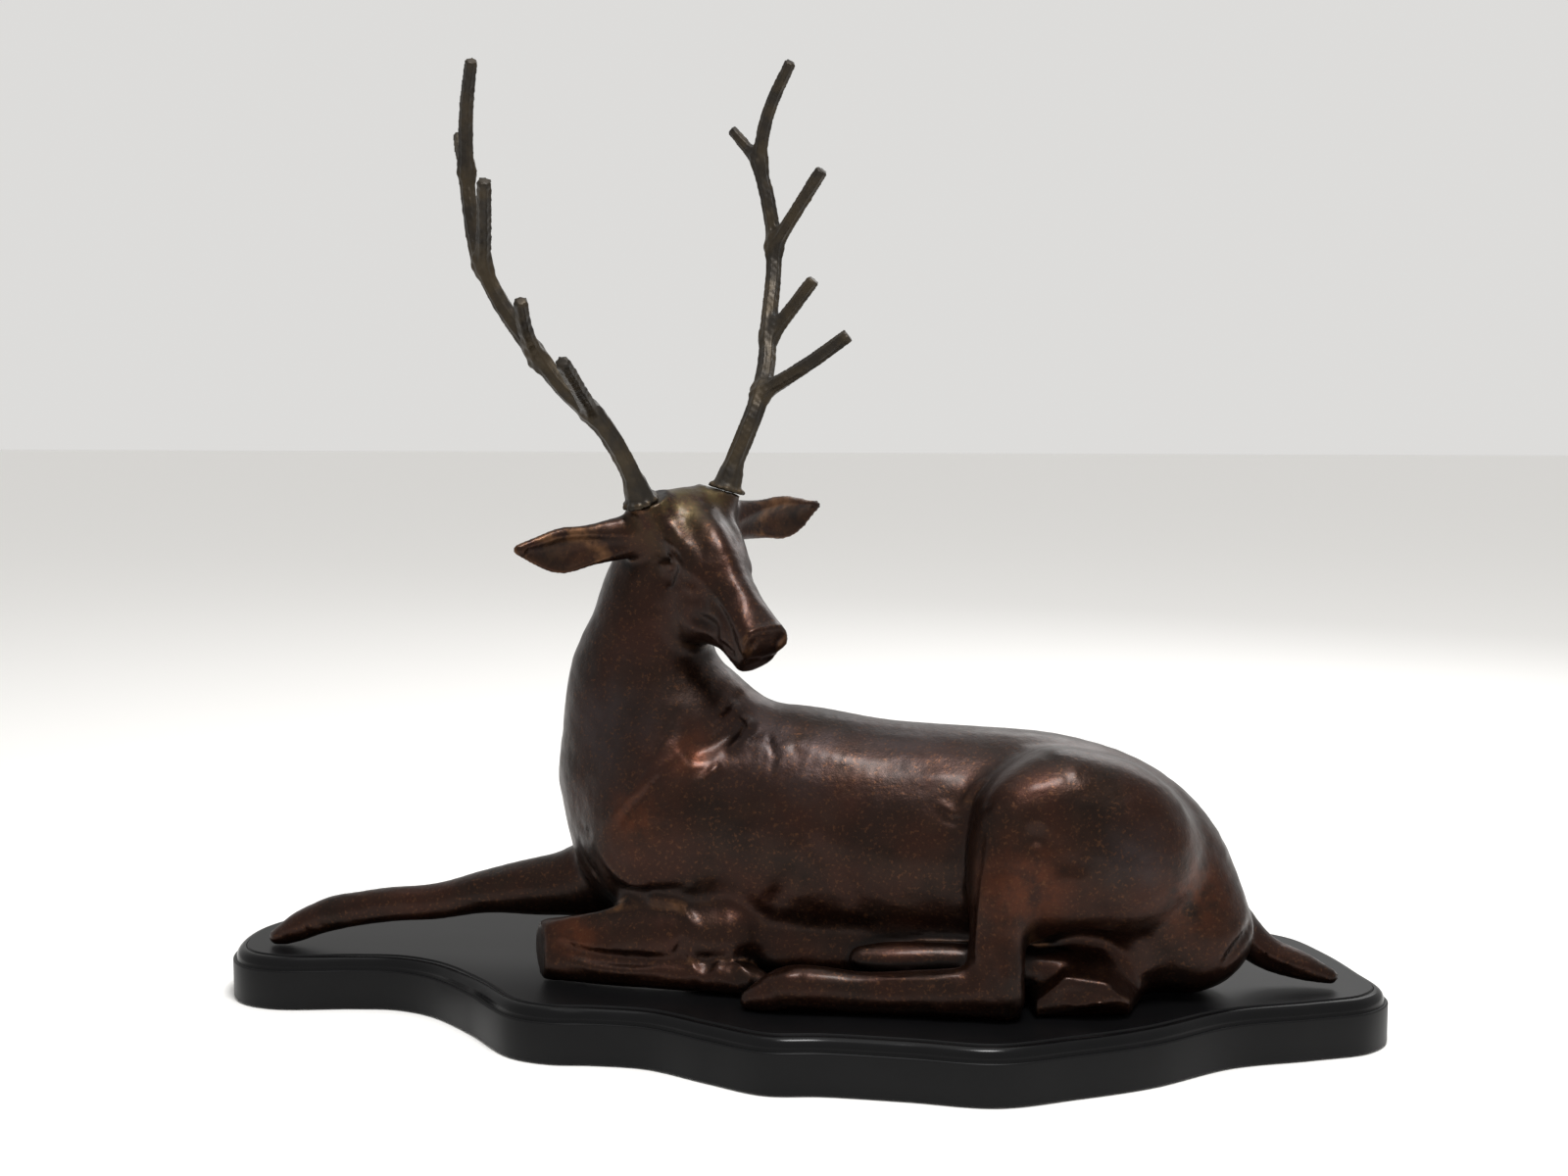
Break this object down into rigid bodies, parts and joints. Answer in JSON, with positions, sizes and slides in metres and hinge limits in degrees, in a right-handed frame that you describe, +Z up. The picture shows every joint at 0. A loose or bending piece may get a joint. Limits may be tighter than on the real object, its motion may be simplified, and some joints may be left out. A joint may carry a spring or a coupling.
{
  "type": "stag statue",
  "caption": "Recumbent stag cast in iron, head turned back over its shoulder, tall branching antlers, lying on a wavy black lacquered board",
  "frame": {"origin": "middle of the rectangle round the board, on the underside of the board", "axes": "+X from the front hooves to the tail, +Y to the stag's far side, +Z up"},
  "size_m": [0.566, 0.2148, 0.4613],
  "materials": {
    "patinated_iron": "brown waxed patina, satin",
    "antler_metal": "olive brown patina, satin",
    "black_lacquer": "black satin lacquer"
  },
  "bodies": {
    "root": {"stag": "patinated_iron", "antler_right": "antler_metal", "antler_left": "antler_metal", "plinth": "black_lacquer"}
  },
  "joints": []
}
